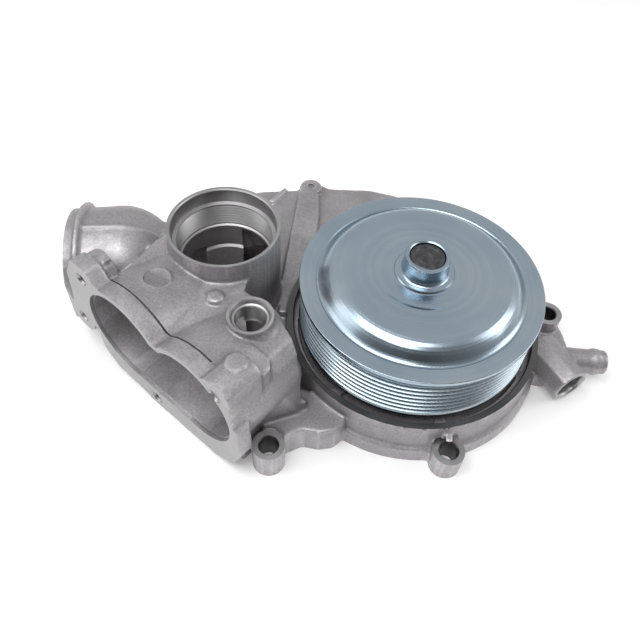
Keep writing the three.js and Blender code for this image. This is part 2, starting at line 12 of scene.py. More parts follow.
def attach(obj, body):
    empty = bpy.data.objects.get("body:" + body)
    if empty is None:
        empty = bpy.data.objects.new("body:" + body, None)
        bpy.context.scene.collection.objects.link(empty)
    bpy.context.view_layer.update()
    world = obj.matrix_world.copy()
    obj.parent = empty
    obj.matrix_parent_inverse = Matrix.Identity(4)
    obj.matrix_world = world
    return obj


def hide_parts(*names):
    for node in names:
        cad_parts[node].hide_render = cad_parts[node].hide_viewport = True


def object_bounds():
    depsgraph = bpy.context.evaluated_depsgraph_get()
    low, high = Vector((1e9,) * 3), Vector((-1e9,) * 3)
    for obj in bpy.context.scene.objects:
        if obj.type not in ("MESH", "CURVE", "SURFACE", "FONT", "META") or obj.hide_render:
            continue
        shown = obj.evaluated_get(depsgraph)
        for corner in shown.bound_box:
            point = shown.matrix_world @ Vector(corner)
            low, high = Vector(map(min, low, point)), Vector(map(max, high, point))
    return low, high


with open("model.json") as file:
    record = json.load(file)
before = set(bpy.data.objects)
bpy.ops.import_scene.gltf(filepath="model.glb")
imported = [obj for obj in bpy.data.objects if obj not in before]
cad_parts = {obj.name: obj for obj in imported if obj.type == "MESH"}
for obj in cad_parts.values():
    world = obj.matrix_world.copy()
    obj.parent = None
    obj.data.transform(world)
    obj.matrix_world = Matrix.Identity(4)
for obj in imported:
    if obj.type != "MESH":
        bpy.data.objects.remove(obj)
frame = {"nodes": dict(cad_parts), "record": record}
cad_low, cad_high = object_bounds()

MM = 0.001
TURN = 2 * math.pi

# ---- sizes of the casting, in millimetres, as the CAD has them ----------------------------
FLANGE_ANGLE, FLANGE_OUT, FLANGE_THICKNESS = 232.5, 133.5, 9.5
LEFT_LOBE, RIGHT_LOBE = (-98, 46.5, 28.5), (-46, 45.5, 27.5)
WAIST = (18.5, 63.5)
LUGS = [(-127, 73.5), (-140.5, 31), (-80, 8), (-25.5, 70)]
TAPER_Z, TAPER = 40, 0.0056
CHAMBER_BACK = 47
PORT = (-113.2, 14.2)
PORT_R, PORT_TOP = 31.8, 80
SENSOR = (-90.7, -42.9)
SENSOR_R, SENSOR_TOP = 12.4, 74
PIPE_ANGLE, PIPE_Z, PIPE_END = 187, 35.5, (-205, 16)
PIPE_LENGTH, PIPE_BORE_R = 27, 29
DUCT_ANGLE = 12.7
ELBOW_ANGLE, ELBOW_END, ARM_Z = -58, (96, -29.5), 14
STUB_Y, STUB_END = -9.5, 119.5
BOLT_BOSSES = [(20.9, -79.3, 16), (-76.9, -86.9, 19), (87.2, 20.8, 20)]
REAR_BOSS = (-70.5, 117.5, 24)
BOSS_R, BOLT_HOLE_R = 9, 5.2
COLLAR_R, COLLAR_BORE_R, COLLAR_TOP = 75.2, 71, 29.4

# ---- how the casting is made, in millimetres ----------------------------------------------
# machined planes stand PROUD until they are cut back; the vent elbow's end is skimmed
PROUD, ELBOW_SKIM = 2.4, 0.25
# a point this near to a plane, or this far past a rim, counts as on it
ON_PLANE, ON_RIM = 0.02, 0.4
VOXEL, CASTING_TRIANGLES = 0.85, 165_000


# ---- mesh tools -----------------------------------------------------------------------------
def new_object(name, mesh):
    """A mesh as an object of the scene."""
    obj = bpy.data.objects.new(name, mesh)
    bpy.context.scene.collection.objects.link(obj)
    return obj


def from_faces(name, vertices, faces):
    """A mesh object with doubled points merged and every face turned outwards."""
    mesh = bpy.data.meshes.new(name)
    mesh.from_pydata([tuple(v) for v in vertices], [], faces)
    bm = bmesh.new()
    bm.from_mesh(mesh)
    bmesh.ops.remove_doubles(bm, verts=bm.verts, dist=1e-7)
    bmesh.ops.recalc_face_normals(bm, faces=bm.faces)
    bm.to_mesh(mesh)
    bm.free()
    return new_object(name, mesh)


def lathe(name, profile, segments, place=None):
    """A closed body turned about Z from (radius, height) points in millimetres."""
    vertices, rows = [], []
    for r, z in profile:
        count = 1 if r < 1e-9 else segments
        rows.append([len(vertices) + i for i in range(count)])
        for i in range(count):
            angle = TURN * i / segments
            vertices.append(Vector((r * math.cos(angle), r * math.sin(angle), z)) * MM)
    closed = profile[0][0] > 1e-9
    pairs = list(zip(rows, rows[1:] + rows[:1] if closed else rows[1:]))
    faces = []
    for a, b in pairs:
        for i in range(segments):
            j = (i + 1) % segments
            quad = [a[i % len(a)], a[j % len(a)], b[j % len(b)], b[i % len(b)]]
            face = list(dict.fromkeys(quad))
            if len(face) > 2:
                faces.append(face)
    if place is not None:
        vertices = [place @ v for v in vertices]
    return from_faces(name, vertices, faces)


def prism(name, outline, z0, z1, place=None, top=None):
    """A closed prism of an outline in millimetres; top is the outline at z1, if another."""
    top = top or outline
    vertices = [Vector((x, y, z0)) * MM for x, y in outline] + [Vector((x, y, z1)) * MM for x, y in top]
    if place is not None:
        vertices = [place @ v for v in vertices]
    n = len(outline)
    faces = [list(range(n)), list(range(n, 2 * n))]
    faces += [[i, (i + 1) % n, n + (i + 1) % n, n + i] for i in range(n)]
    return from_faces(name, vertices, faces)


def circle(x, y, r, segments=64):
    """The points of a circle."""
    return [(x + r * math.cos(TURN * i / segments), y + r * math.sin(TURN * i / segments))
            for i in range(segments)]


def rectangle(x0, y0, x1, y1):
    """The corners of a rectangle."""
    return [(x0, y0), (x1, y0), (x1, y1), (x0, y1)]


def standing(x, y, angle=0):
    """The place of an upright body at (x, y), turned by an angle."""
    return Matrix.Translation(Vector((x, y, 0)) * MM) @ Matrix.Rotation(math.radians(angle), 4, "Z")


def upright(name, x, y, r, z0, z1, segments=64, r1=None):
    """A round body standing at (x, y); r1 is its radius at z1, if another."""
    profile = [(0, z0), (r, z0), (r if r1 is None else r1, z1), (0, z1)]
    return lathe(name, profile, segments, standing(x, y))


def lying(x, y, z, angle):
    """The place of a body turned about Z that should lie along an angle from (x, y, z)."""
    turn = Matrix.Rotation(math.radians(angle), 4, "Z") @ Matrix.Rotation(math.pi / 2, 4, "Y")
    return Matrix.Translation(Vector((x, y, z)) * MM) @ turn


def bar(name, x, y, z, angle, length, r0, r1=None, segments=48, start=0):
    """A round body lying along an angle from (x, y, z); r1 is its radius at the far end, if another."""
    profile = [(0, start), (r0, start), (r0 if r1 is None else r1, start + length), (0, start + length)]
    return lathe(name, profile, segments, lying(x, y, z, angle))


def flange_place():
    """Drawing plane (h, z) of the thermostat flange; the third axis runs out of its face."""
    a = math.radians(FLANGE_ANGLE)
    normal, across = Vector((math.cos(a), math.sin(a), 0)), Vector((-math.sin(a), math.cos(a), 0))
    place = Matrix((across, Vector((0, 0, 1)), normal)).transposed().to_4x4()
    place.translation = normal * FLANGE_OUT * MM
    return place


FLANGE = flange_place()
DUCT = standing(*PORT, DUCT_ANGLE)


def flange_prism(name, outline, d0, d1, taper=0):
    """A prism from d0 to d1 behind the flange face, lower with depth above TAPER_Z."""
    def lowered(depth):
        return [(h, z - max(z - TAPER_Z, 0) * taper * depth) for h, z in outline]
    return prism(name, lowered(d1), -d1, -d0, FLANGE, lowered(d0))


def plan_prism(name, outline, z0, z1):
    """An upright prism whose outline is drawn in (h, depth behind the flange)."""
    points = [FLANGE @ (Vector((h, 0, -d)) * MM) / MM for h, d in outline]
    return prism(name, [(p.x, p.y) for p in points], z0, z1)


def lobes(name, extra, d0, d1, taper=0):
    """The flange opening's outline, two lobes and the waist between them, grown by extra."""
    parts = [flange_prism(name, circle(h, z, r + extra, 72), d0, d1, taper)
             for h, z, r in (LEFT_LOBE, RIGHT_LOBE)]
    waist = rectangle(LEFT_LOBE[0], WAIST[0] - extra, RIGHT_LOBE[0], WAIST[1] + extra)
    parts.append(flange_prism(name, waist, d0, d1, taper))
    return merged(name, parts)


def apply_modifiers(obj):
    """Turns an object's modifiers into its mesh."""
    graph = bpy.context.evaluated_depsgraph_get()
    mesh = bpy.data.meshes.new_from_object(obj.evaluated_get(graph), depsgraph=graph)
    obj.modifiers.clear()
    obj.data = mesh
    return obj


def combine(target, other, operation):
    """Adds another body to the target, or cuts it away; the other body is used up."""
    modifier = target.modifiers.new("boolean", "BOOLEAN")
    modifier.operation = operation
    modifier.solver = "MANIFOLD"
    modifier.object = other
    apply_modifiers(target)
    bpy.data.objects.remove(other)
    return target


def merged(name, parts):
    """Bodies as one body, with nothing left inside."""
    whole = parts[0]
    whole.name = name
    for part in parts[1:]:
        combine(whole, part, "UNION")
    return whole


def joined(name, parts):
    """Bodies in one mesh, still overlapping."""
    bm = bmesh.new()
    for part in parts:
        bm.from_mesh(part.data)
        bpy.data.objects.remove(part)
    mesh = bpy.data.meshes.new(name)
    bm.to_mesh(mesh)
    bm.free()
    return new_object(name, mesh)


def arc(cx, cz, r, start, end, steps):
    """Points of a profile on an arc; angles in degrees from the +r direction."""
    return [(cx + r * math.cos(math.radians(a)), cz + r * math.sin(math.radians(a)))
            for a in np.linspace(start, end, steps + 1)]


def supported(profile, gap=0.35):
    """The profile with extra points near the ends of its long straight parts."""
    points = [profile[0]]
    for (r0, z0), (r1, z1) in zip(profile, profile[1:]):
        length = math.hypot(r1 - r0, z1 - z0)
        if length > 3 * gap:
            for share in (gap / length, 1 - gap / length):
                points.append((r0 + (r1 - r0) * share, z0 + (z1 - z0) * share))
        points.append((r1, z1))
    return points


# ---- casting ----------------------------------------------------------------------------------
def along_and_across(x, y, start, angle):
    """How far points lie from a start along a level direction, and how far to the left of it."""
    way_x, way_y = math.cos(math.radians(angle)), math.sin(math.radians(angle))
    dx, dy = x - start[0], y - start[1]
    return dx * way_x + dy * way_y, dy * way_x - dx * way_y


def raised_casting():
    """The CAD body with every machined plane moved outwards, so that it can be cut back crisp."""
    mesh = frame["nodes"]["pump_housing"].data.copy()
    points = np.empty(len(mesh.vertices) * 3)
    mesh.vertices.foreach_get("co", points)
    points = points.reshape(-1, 3) / MM
    x, y, z = points.T
    moved = points.copy()
    for start, angle, out, reach in (((0, 0), FLANGE_ANGLE, FLANGE_OUT, math.inf),
                                     (PIPE_END, PIPE_ANGLE, 0, PIPE_END[0] + 15)):
        along, _ = along_and_across(x, y, start, angle)
        on_end = (np.abs(along - out) < ON_PLANE) & (x < reach)
        moved[on_end, 0] += PROUD * math.cos(math.radians(angle))
        moved[on_end, 1] += PROUD * math.sin(math.radians(angle))
    moved[np.abs(z) < ON_PLANE, 2] -= PROUD
    tops = [(*PORT, PORT_R, PORT_TOP), (*SENSOR, SENSOR_R, SENSOR_TOP), (0, 0, COLLAR_R, COLLAR_TOP)]
    tops += [(bx, by, BOSS_R, top) for bx, by, top in BOLT_BOSSES]
    for cx, cy, r, top in tops:
        on_top = (np.hypot(x - cx, y - cy) < r + ON_RIM) & (np.abs(z - top) < ON_PLANE)
        moved[on_top, 2] += PROUD
    mesh.vertices.foreach_set("co", (moved * MM).ravel())
    mesh.update()
    return new_object("raised", mesh)


def pipe_point(inward, height=PIPE_Z):
    """The point of the hose pipe's axis that lies this far inwards from its end."""
    angle = math.radians(PIPE_ANGLE + 180)
    return PIPE_END[0] + inward * math.cos(angle), PIPE_END[1] + inward * math.sin(angle), height


def round_shells():
    """The round walls of the body again, as true circles; the cuts open them afterwards."""
    dome_r = 35
    pipe_wall = [(0, -PROUD), (33, -PROUD), (33.3, 5.4), (36.6, 6.2), (36.6, 8.3), (33.6, 9.4),
                 (34.6, PIPE_LENGTH), *arc(0, PIPE_LENGTH, dome_r, 8, 90, 16)[:-1], (0, PIPE_LENGTH + dome_r)]
    drive_wall = [(60, -PROUD), (79, -PROUD), (79, 10.2), (75.6, 12.2), (COLLAR_R, COLLAR_TOP + PROUD),
                  (69, COLLAR_TOP + PROUD), (69, 19), (60, 19)]
    parts = [
        lobes("rim", 4.5, -PROUD, FLANGE_THICKNESS),
        lobes("roof_lobes", 5.3, FLANGE_THICKNESS - 0.5, 49, TAPER),
        upright("port_wall", *PORT, PORT_R, 0, PORT_TOP + PROUD, 128),
        upright("sensor_wall", *SENSOR, SENSOR_R, 40, SENSOR_TOP + PROUD),
        upright("sensor_foot", *SENSOR, 17, 64.5, 70.5, r1=SENSOR_R),
        lathe("pipe_wall", pipe_wall, 128, lying(*pipe_point(0), PIPE_ANGLE + 180)),
        lathe("drive_wall", drive_wall, 192),
        bar("stub_wall", 84, STUB_Y, ARM_Z, 0, STUB_END - 84, 7.4, 7.2, 64),
        bar("stub_bead", STUB_END - 8.5, STUB_Y, ARM_Z, 0, 3.6, 8.3, 8.0, 64),
    ]
    for k, (x, y, top) in enumerate(BOLT_BOSSES):
        parts.append(upright(f"boss_wall_{k}", x, y, BOSS_R, -PROUD, top + PROUD))
    x, y, top = REAR_BOSS
    rear_wall = [(0, 0), (10, 0), (7.6, top - 0.5), (6.8, top), (0, top)]
    parts.append(lathe("rear_boss_wall", rear_wall, 64, standing(x, y)))
    for k, (h, z) in enumerate(LUGS):
        parts.append(flange_prism(f"lug_wall_{k}", circle(h, z, 10, 64), -PROUD, FLANGE_THICKNESS))
    return parts


def pipe_ridge():
    """The thin parting ridge along the top of the hose pipe and round its dome."""
    reach, half_thickness = 35.9, 0.9
    end = -PIPE_LENGTH + 6
    dome = [(math.sin(t) * reach, math.cos(t) * reach) for t in np.linspace(0, math.pi, 33)]
    place = (Matrix.Translation(Vector(pipe_point(PIPE_LENGTH)) * MM)
             @ Matrix.Rotation(math.radians(PIPE_ANGLE + 180), 4, "Z")
             @ Matrix.Rotation(math.radians(6), 4, "X") @ Matrix.Rotation(math.pi / 2, 4, "X"))
    outline = [(end, reach - 1.2), *dome, (end, -reach)]
    return prism("pipe_ridge", outline, -half_thickness, half_thickness, place)


def surface_details():
    """Cast shapes that lie on the body: pads, tabs, ribs, seams, and the columns behind the lugs."""
    roof_tab = [(-134, -8), (-122, -14), (-108, -15.5), (-99.6, -14.2), (-96.4, -17.5), (-97.6, -21.6),
                (-103, -24.2), (-110, -27), (-120, -27), (-134, -16)]
    plate_rib = [(-81, 116), (-61, 110), (-59, 88), (-60, 0), (-86, 0), (-83, 80)]
    plate_rib_top = [(-77.4, 115), (-65, 110), (-63, 88), (-64, 0), (-81, 0), (-78.4, 80)]
    lug_step = [(-36, 20), (-16.5, 20), (-17.5, 30), (-22, 34), (-34, 34)]
    parts = [
        prism("duct_end", rectangle(8, 45, 30, 53), 0.6, 34, DUCT),
        upright("large_pad", -143, -23, 7.4, 62, 74.0),
        upright("small_pad", -111.5, -28.5, 4.9, 60, 69.6, r1=4.6),
        upright("lug_pad", -93, -76, 5.4, 62, 80.0),
        prism("roof_tab", roof_tab, 60, 67.3),
        prism("collar_rib", rectangle(17.3, -79, 21.9, -73), 8, 24.5),
        prism("plate_rib", plate_rib, 14, 25, top=plate_rib_top),
        prism("plate_web", [(-99, 101), (-89, 116), (-86.5, 113.5), (-95.5, 99)], 14, 22.6),
        bar("dome_tab", -161, 9, 60.5, 12, 20, 2.2, 2.2),
        plan_prism("corner_seam", [(-10.5, 46), (-8.4, 47.5), (-9.6, 49.5), (-12, 49)], 15, 27),
        plan_prism("lug_step", lug_step, 40, 70),
        flange_prism("lug_flash_0", [(-131, 80), (-128.6, 84.6), (-127.4, 82), (-125, 80)], 9, 13),
        flange_prism("lug_flash_1", [(-124, 80), (-119.6, 84), (-120.4, 79.5), (-122, 78)], 12, 16),
    ]
    column_depths = (17, 15, 12, 12)
    for k, ((h, z), depth) in enumerate(zip(LUGS, column_depths)):
        parts.append(flange_prism(f"lug_column_{k}", circle(h, z, 9.2, 32), 4, depth))
    return parts + [pipe_ridge()]


def thread_profile(r, z0, z1, pitch, depth):
    """A bore wall with thread grooves, as (radius, height) points from bottom to top."""
    points, z = [], z0
    while z + pitch <= z1 + 1e-6:
        points += [(r, z), (r + depth, z + pitch * 0.5), (r, z + pitch * 0.92)]
        z += pitch
    return points


def port_cuts():
    """The big port and the sensor's port: threaded bores and flat faces."""
    thread_r, mouth_r = 27.2, 29.6
    port = [(0, 9), (24, 9), (24, 38), (26, 38.6), (26, 54.4), (thread_r, 55)]
    port += thread_profile(thread_r, 56, 70, 2.0, 0.9)
    port += [(thread_r, 70.4), (29.4, 71), (mouth_r, 71.4), (mouth_r, PORT_TOP - 0.6),
             (30.2, PORT_TOP), (30.2, 90), (0, 90)]
    sensor = [(0, 40), (7.4, 40), (7.4, 60)] + thread_profile(8.1, 60.5, 71, 1.5, 0.9)
    sensor += [(8.6, 71.2), (9.6, 71.6), (10.4, SENSOR_TOP - 0.8), (11.0, SENSOR_TOP), (11.0, 82), (0, 82)]
    return [
        lathe("port_bore", port, 128, standing(*PORT)),
        upright("port_face", *PORT, 36, PORT_TOP, 90),
        lathe("sensor_bore", sensor, 64, standing(*SENSOR)),
        upright("sensor_face", *SENSOR, 17, SENSOR_TOP, 82),
    ]


def boss_cuts():
    """The bolt holes and faces of the bosses, and the faces of the rear boss and the large pad."""
    cuts = []
    for k, (x, y, top) in enumerate(BOLT_BOSSES):
        mouth_r = BOLT_HOLE_R + 0.6
        hole = [(0, -4), (BOLT_HOLE_R, -4), (BOLT_HOLE_R, top - 0.6), (mouth_r, top), (mouth_r, top + 8),
                (0, top + 8)]
        cuts.append(lathe(f"bolt_bore_{k}", hole, 64, standing(x, y)))
        cuts.append(upright(f"boss_face_{k}", x, y, BOSS_R + 0.25, top, top + 4))
    x, y, top = REAR_BOSS
    cuts.append(upright("rear_mark", x, y, 2.4, top - 0.8, top + 4, 32))
    cuts.append(upright("large_pad_face", -143, -23, 7.4, 73.5, 90))
    return cuts


def collar_cuts():
    """The collar's top face and the bore that the pulley turns in."""
    face = rectangle(69, COLLAR_TOP, 77.5, 36)
    wall_r = COLLAR_BORE_R + 0.5
    bore = [(62, 24), (wall_r, 24), (wall_r, COLLAR_TOP - 0.5), (wall_r + 0.5, COLLAR_TOP + 0.1),
            (62, COLLAR_TOP + 0.1)]
    return [lathe("collar_face", face, 160), lathe("collar_bore", bore, 160)]


def flange_cuts():
    """The flange's face, the stepped opening, the groove behind the rim, and the lug holes."""
    cuts = [
        flange_prism("flange_face", rectangle(-190, -10, 40, 110), -12, 0),
        lobes("opening_step", 1.2, -14, 2.2),
        lobes("opening", 0.1, -14, CHAMBER_BACK, TAPER),
    ]
    groove = lobes("groove", 9, 9.6, 11.0)
    combine(groove, lobes("groove_core", 3.3, 9, 12, TAPER), "DIFFERENCE")
    ungrooved = [rectangle(-190, -20, 40, 52), rectangle(-38, -20, 40, 110)]
    ungrooved += [circle(h, z, 11.5, 32) for h, z in LUGS]
    for outline in ungrooved:
        combine(groove, flange_prism("groove_limit", outline, 8, 13), "DIFFERENCE")
    cuts.append(groove)
    hole = [(0, -13), (3.3, -13)] + thread_profile(3.3, -12.5, -1.2, 1.25, 0.5) + [(4.1, 0), (4.1, 6), (0, 6)]
    for k, (h, z) in enumerate(LUGS):
        cuts.append(lathe(f"lug_hole_{k}", hole, 32, FLANGE @ standing(h, z)))
    return cuts


def pipe_cuts():
    """The hose pipe's end face, and its bore with a round end."""
    bore = [(0, -4), (PIPE_BORE_R, -4), *arc(0, PIPE_LENGTH, PIPE_BORE_R, 0, 90, 12)[:-1],
            (0, PIPE_LENGTH + PIPE_BORE_R)]
    return [
        bar("pipe_face", *PIPE_END, PIPE_Z, PIPE_ANGLE, 8, 40, 40, 48),
        lathe("pipe_bore", bore, 96, lying(*pipe_point(0), PIPE_ANGLE + 180)),
    ]


def vent_cuts():
    """The vent elbow's eight flats, end face and threaded bore, and the stub's bore."""
    flats = [(11.7, -0.5), (13.4, -0.5), (13.4, 10), (12.5, 10)]
    bore = [(0, -20), (7.9, -20)] + thread_profile(7.9, -18, -2, 1.5, 0.7)
    bore += [(8.2, -1.9), (9.6, -0.2), (9.6, 4), (0, 4)]
    return [
        lathe("arm_flats", flats, 8, lying(*ELBOW_END, ARM_Z, ELBOW_ANGLE + 180)),
        bar("arm_face", *ELBOW_END, ARM_Z, ELBOW_ANGLE, 6, 15, 15, 32, start=-ELBOW_SKIM),
        lathe("arm_bore", bore, 64, lying(*ELBOW_END, ARM_Z, ELBOW_ANGLE)),
        bar("stub_bore", STUB_END + 2, STUB_Y, ARM_Z, 180, 30, 4.9, 4.9, 48),
    ]


def passage_cuts():
    """The cored passages that open into the ports and the chamber."""
    return [
        bar("neck_bore", *pipe_point(PIPE_LENGTH, PIPE_Z - 7.5), PIPE_ANGLE + 180, 50, 15, 15, 48),
        plan_prism("seat_passage", rectangle(-113.4, 40, -72.6, 72), 22.4, 59.4),
        plan_prism("base_passage", rectangle(-63.6, 28.4, -38.4, 43.6), -6, 30),
        prism("duct_high", rectangle(11, 0, 27.4, 28), 4, 53, DUCT),
        prism("duct_low", rectangle(10.7, 0, 27.3, 45), 3.7, 32.3, DUCT),
    ]


def cast_body():
    """The housing: one rough casting, softened as sand leaves it, with every cut taken crisp."""
    rough = joined("cast_body", [raised_casting()] + round_shells() + surface_details())
    remesh = rough.modifiers.new("remesh", "REMESH")
    remesh.mode, remesh.voxel_size, remesh.adaptivity = "VOXEL", VOXEL * MM, 0
    smooth = rough.modifiers.new("smooth", "SMOOTH")
    smooth.factor, smooth.iterations = 0.5, 7
    apply_modifiers(rough)
    triangles = sum(len(p.vertices) - 2 for p in rough.data.polygons)
    thin = rough.modifiers.new("decimate", "DECIMATE")
    thin.ratio = min(1, CASTING_TRIANGLES / triangles)
    apply_modifiers(rough)
    cuts = [prism("floor_cut", rectangle(-400, -400, 400, 400), -40, 0)]
    for made in (port_cuts, boss_cuts, collar_cuts, flange_cuts, pipe_cuts, vent_cuts, passage_cuts):
        cuts += made()
    for cutter in cuts:
        combine(rough, cutter, "DIFFERENCE")
    return rough


# ---- turned pieces ------------------------------------------------------------------------------
def pulley():
    """Pressed pulley: neck, dished face with a rounded shoulder, flat flange, grooved rim."""
    groove_count, pitch, first_top = 8, 3.56, 61.8
    grooves = []
    for i in range(groove_count):
        top = first_top - i * pitch
        grooves += [(67.7, top - 0.22), (68, top - 0.5), (65.5, top - 1.6), (65.35, top - 1.78),
                    (65.5, top - 1.96), (68, top - 3.06), (67.7, top - 3.34)]
    under = [(9.9, 60), (14.5, 60), (15.5, 68.2), (46, 68.2), (54, 61), (62.5, 60), (62.5, 30.2),
             (68.2, 30.2), (68.4, 30.5), (68.4, 32.2)]
    rim = [(69, 61.9), (69, 63.5), *arc(68.5, 63.5, 0.5, 0, 90, 4)]
    shoulder = [(60.6, 64), (59.9, 63.9), (59.3, 63.45), (58.7, 63.5), (58.1, 63.9), (57.4, 64.4),
                (56.6, 65.1), (55.5, 66.3), (54.2, 67.7), (52.7, 69.1), (51, 70.3), (49.2, 71.2),
                (47.2, 71.8), (45.4, 72.1), (43.6, 72.2)]
    face = [(37.6, 72.2), (37.2, 72.05), (36.8, 72.05), (36.4, 72.0), (28.2, 72.0), (27.6, 71.85),
            (27, 71.7), (26.4, 71.65), (17.6, 71.6)]
    neck = [(17.1, 71.8), (16.8, 72.3), (16.3, 72.8), (15.4, 73.0), (14.4, 73.1), (13.6, 73.5),
            (13.0, 74.2), (12.6, 75.2), (12.5, 76.2), (12.5, 83.6), (12.25, 84.1), (11.8, 84.3),
            (10.6, 84.3), (10.0, 83.8), (9.9, 83.2)]
    return lathe("pulley_body", supported(under + grooves[::-1] + rim + shoulder + face + neck), 224)


def shaft():
    """Turned shaft: stepped journals, ball race, chamfered front end with a shallow turned dish."""
    front = [(9.6, 82.3), *arc(8.9, 82.75, 0.7, 0, 70, 3), (8.1, 83.5), (6.9, 83.5), (6.7, 83.3),
             (5.9, 83.3), (5.7, 83.5), (4.3, 83.5), (4.1, 83.25), (3.1, 83.2), (2.6, 82.9), (1.2, 82.6),
             (0, 82.5)]
    race = [(12.5, 28.6), (12.5, 32.4), (12.0, 33.0), (11.5, 34.0), (11.2, 35.5), (11.5, 37.0), (12.0, 38.0),
            (12.5, 38.6), (12.5, 57)]
    rear = [(0, 0), (8.5, 0), (9, 0.5), (9, 13), (10, 13.4), (10, 27.8)]
    return lathe("shaft_body", rear + race + [(9.6, 58.5)] + front, 96)


# ---- materials ------------------------------------------------------------------------------------
def set_range(node, start, end, low, high):
    """Sets what a Map Range node takes in and gives out."""
    for socket, value in (("From Min", start), ("From Max", end), ("To Min", low), ("To Max", high)):
        node.inputs[socket].default_value = value


class Nodes:
    """A node material under construction."""

    def __init__(self, name, metallic, roughness, **fixed):
        self.material = bpy.data.materials.new(name)
        self.material.use_nodes = True
        self.tree = self.material.node_tree
        self.shader = self.tree.nodes["Principled BSDF"]
        self.shader.inputs["Metallic"].default_value = metallic
        self.shader.inputs["Roughness"].default_value = roughness
        for socket, value in fixed.items():
            self.shader.inputs[socket.replace("_", " ")].default_value = value
        self.place = self.add("ShaderNodeTexCoord").outputs["Object"]

    def add(self, kind, **settings):
        node = self.tree.nodes.new(kind)
        for key, value in settings.items():
            setattr(node, key, value)
        return node

    def link(self, a, b):
        self.tree.links.new(a, b)

    def fill(self, socket, value):
        """Gives an input a plain value, or links it to another node's output."""
        if isinstance(value, (int, float, tuple)):
            socket.default_value = value
        else:
            self.link(value, socket)

    def noise(self, scale, detail=3, rough=0.5):
        node = self.add("ShaderNodeTexNoise")
        node.inputs["Scale"].default_value = scale
        node.inputs["Detail"].default_value = detail
        node.inputs["Roughness"].default_value = rough
        self.link(self.place, node.inputs["Vector"])
        return node.outputs["Fac"]

    def math(self, operation, a, b=None):
        node = self.add("ShaderNodeMath", operation=operation)
        for socket, value in zip(node.inputs, (a, b)):
            if value is not None:
                self.fill(socket, value)
        return node.outputs["Value"]

    def mix(self, blend, factor, a, b):
        """Two colours blended."""
        node = self.add("ShaderNodeMix", data_type="RGBA", blend_type=blend)
        for socket, value in (("Factor", factor), ("A", a), ("B", b)):
            self.fill(node.inputs[socket], value)
        return node.outputs["Result"]

    def ramp(self, value, *stops):
        """Colours for a value, from (position, colour) stops."""
        node = self.add("ShaderNodeValToRGB")
        ramp = node.color_ramp
        for k, (position, color) in enumerate(stops):
            stop = ramp.elements[k] if k < 2 else ramp.elements.new(position)
            stop.position, stop.color = position, (*color, 1)
        self.link(value, node.inputs["Fac"])
        return node.outputs["Color"]

    def span(self, value, low, high, start=0.3, end=0.7):
        """The value's stretch from start to end spread from low to high, and held beyond."""
        node = self.add("ShaderNodeMapRange")
        set_range(node, start, end, low, high)
        self.link(value, node.inputs["Value"])
        return node.outputs["Result"]

    def bump(self, height, strength, distance, after=None):
        """Relief of the surface, on top of an earlier bump's if one is given."""
        node = self.add("ShaderNodeBump")
        node.inputs["Strength"].default_value = strength
        node.inputs["Distance"].default_value = distance
        self.link(height, node.inputs["Height"])
        if after is not None:
            self.link(after, node.inputs["Normal"])
        self.link(node.outputs["Normal"], self.shader.inputs["Normal"])
        return node.outputs["Normal"]

    def radius(self):
        """Distance from the drive's axis, in metres."""
        split = self.add("ShaderNodeSeparateXYZ")
        self.link(self.place, split.inputs["Vector"])
        x, y = split.outputs["X"], split.outputs["Y"]
        return self.math("SQRT", self.math("ADD", self.math("MULTIPLY", x, x), self.math("MULTIPLY", y, y)))


def ring_noise(n, radius, scale, seed):
    """Noise that changes only with the distance from an axis: turning and brushing marks."""
    node = n.add("ShaderNodeTexNoise", noise_dimensions="1D")
    node.inputs["Scale"].default_value = scale
    node.inputs["Detail"].default_value = 2
    n.link(n.math("ADD", radius, seed), node.inputs["W"])
    return node.outputs["Fac"]


def cast_aluminium():
    """Cast skin: mottled and grainy, with painted shade darkening hollows and a painted highlight brightening
    edges.
    """
    n = Nodes("cast_aluminium", 0.75, 0.5)
    blotch = n.noise(38, 4, 0.6)
    fine = n.noise(900, 3, 0.65)
    color = n.ramp(blotch, (0.30, (0.37, 0.352, 0.364)), (0.72, (0.50, 0.477, 0.494)))
    grain = n.ramp(fine, (0.34, (0.70, 0.69, 0.70)), (0.66, (1.08, 1.08, 1.08)))
    grainy = n.mix("MULTIPLY", 0.8, color, grain)
    # Pointiness paints light: concave hollows are made darker as painted shade, convex edges brighter as a
    # painted highlight.
    pointed = n.add("ShaderNodeNewGeometry").outputs["Pointiness"]
    painted_edge_sheen_hollow_shade = n.ramp(pointed, (0.46, (0.66, 0.66, 0.66)), (0.56, (1.35, 1.35, 1.35)))
    n.link(n.mix("MULTIPLY", 0.85, grainy, painted_edge_sheen_hollow_shade), n.shader.inputs["Base Color"])
    n.link(n.span(n.noise(120, 3), 0.42, 0.58), n.shader.inputs["Roughness"])
    skin = n.bump(fine, 0.4, 0.0003)
    n.bump(n.noise(150, 3), 0.25, 0.0006, skin)
    return n.material


def machined_aluminium(name, low, high):
    """Bare cut metal with turning marks; low and high are its darkest and lightest tones."""
    n = Nodes(name, 1.0, 0.3)
    marks = ring_noise(n, n.radius(), 2600, 0.37)
    cloud = n.noise(60, 3)
    dark, light = (low, low * 0.985, low), (high, high * 0.985, high)
    n.link(n.ramp(cloud, (0.3, dark), (0.7, light)), n.shader.inputs["Base Color"])
    n.link(n.span(cloud, 0.36, 0.5), n.shader.inputs["Roughness"])
    n.bump(marks, 0.25, 0.00008)
    return n.material


